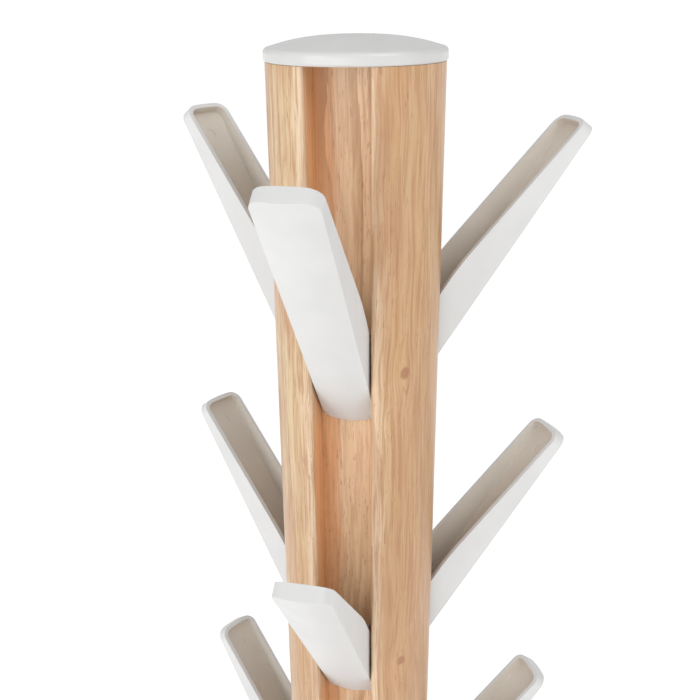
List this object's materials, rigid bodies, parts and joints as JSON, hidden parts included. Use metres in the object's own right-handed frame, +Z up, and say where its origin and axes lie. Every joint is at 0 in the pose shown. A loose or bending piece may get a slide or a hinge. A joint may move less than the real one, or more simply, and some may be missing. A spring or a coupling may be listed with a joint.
{
  "type": "coat stand",
  "caption": "Free-standing coat stand: round fluted wooden post on a weighted disc base, with white hooks hinged in the flutes that fold flush.",
  "frame": {"origin": "on the floor under the centre of the base, in the plane of the feet's undersides", "axes": "+Z up along the post, -Y out of the front flute, +X to the right seen from the front"},
  "size_m": [0.3999, 0.4, 1.6888],
  "materials": {
    "post_wood": "clear satin lacquer on pale hardwood",
    "dowel_wood": "bare beech",
    "hook_plastic": "fine satin moulding",
    "cap_plastic": "semi-gloss moulding",
    "plug_plastic": "satin moulding",
    "bracket_plastic": "satin glass-filled moulding",
    "base_coating": "satin powder coat on cast iron",
    "foot_rubber": "matte",
    "plated_steel": "bright zinc plate",
    "insert_brass": "turned"
  },
  "bodies": {
    "stand": {"base_plate": "base_coating", "base_feet": "foot_rubber", "base_bolt": "plated_steel", "base_washer": "plated_steel", "base_pins": "plated_steel", "post_lower": "post_wood", "post_middle": "post_wood", "post_upper": "post_wood", "threaded_inserts": "insert_brass", "joint_studs": "plated_steel", "joint_dowels": "dowel_wood", "top_cap": "cap_plastic", "cap_screw": "plated_steel", "cap_plug": "plug_plastic", "bracket_screws": "plated_steel", "hinge_bracket_front_top": "bracket_plastic", "hinge_bracket_front_middle": "bracket_plastic", "hinge_bracket_front_low": "bracket_plastic", "hinge_bracket_right_top": "bracket_plastic", "hinge_bracket_right_middle": "bracket_plastic", "hinge_bracket_right_low": "bracket_plastic", "hinge_bracket_left_top": "bracket_plastic", "hinge_bracket_left_middle": "bracket_plastic", "hinge_bracket_left_low": "bracket_plastic"},
    "hook_front_top": {"hook_front_top": "hook_plastic", "hinge_pin_front_top": "plated_steel"},
    "hook_front_middle": {"hook_front_middle": "hook_plastic", "hinge_pin_front_middle": "plated_steel"},
    "hook_front_low": {"hook_front_low": "hook_plastic", "hinge_pin_front_low": "plated_steel"},
    "hook_right_top": {"hook_right_top": "hook_plastic", "hinge_pin_right_top": "plated_steel"},
    "hook_right_middle": {"hook_right_middle": "hook_plastic", "hinge_pin_right_middle": "plated_steel"},
    "hook_right_low": {"hook_right_low": "hook_plastic", "hinge_pin_right_low": "plated_steel"},
    "hook_left_top": {"hook_left_top": "hook_plastic", "hinge_pin_left_top": "plated_steel"},
    "hook_left_middle": {"hook_left_middle": "hook_plastic", "hinge_pin_left_middle": "plated_steel"},
    "hook_left_low": {"hook_left_low": "hook_plastic", "hinge_pin_left_low": "plated_steel"}
  },
  "joints": [
    {"name": "fold_front_top", "type": "hinge", "parent": "stand", "child": "hook_front_top", "pos_m": [0, -0.0299, 1.5404], "axis": [-1, 0, 0], "range_deg": [0, 38]},
    {"name": "fold_front_middle", "type": "hinge", "parent": "stand", "child": "hook_front_middle", "pos_m": [0, -0.0299, 1.373], "axis": [-1, 0, 0], "range_deg": [-2, 36]},
    {"name": "fold_front_low", "type": "hinge", "parent": "stand", "child": "hook_front_low", "pos_m": [0, -0.0299, 1.2056], "axis": [-1, 0, 0], "range_deg": [-2, 36]},
    {"name": "fold_right_top", "type": "hinge", "parent": "stand", "child": "hook_right_top", "pos_m": [0.02589, 0.01495, 1.5404], "axis": [0.5, -0.866, 0], "range_deg": [-2, 36]},
    {"name": "fold_right_middle", "type": "hinge", "parent": "stand", "child": "hook_right_middle", "pos_m": [0.02589, 0.01495, 1.373], "axis": [0.5, -0.866, 0], "range_deg": [-2, 36]},
    {"name": "fold_right_low", "type": "hinge", "parent": "stand", "child": "hook_right_low", "pos_m": [0.02589, 0.01495, 1.2056], "axis": [0.5, -0.866, 0], "range_deg": [-1, 37]},
    {"name": "fold_left_top", "type": "hinge", "parent": "stand", "child": "hook_left_top", "pos_m": [-0.02589, 0.01495, 1.5404], "axis": [0.5, 0.866, 0], "range_deg": [-4, 34]},
    {"name": "fold_left_middle", "type": "hinge", "parent": "stand", "child": "hook_left_middle", "pos_m": [-0.02589, 0.01495, 1.373], "axis": [0.5, 0.866, 0], "range_deg": [-1.5, 36.5]},
    {"name": "fold_left_low", "type": "hinge", "parent": "stand", "child": "hook_left_low", "pos_m": [-0.02589, 0.01495, 1.2056], "axis": [0.5, 0.866, 0], "range_deg": [-2, 36]}
  ]
}
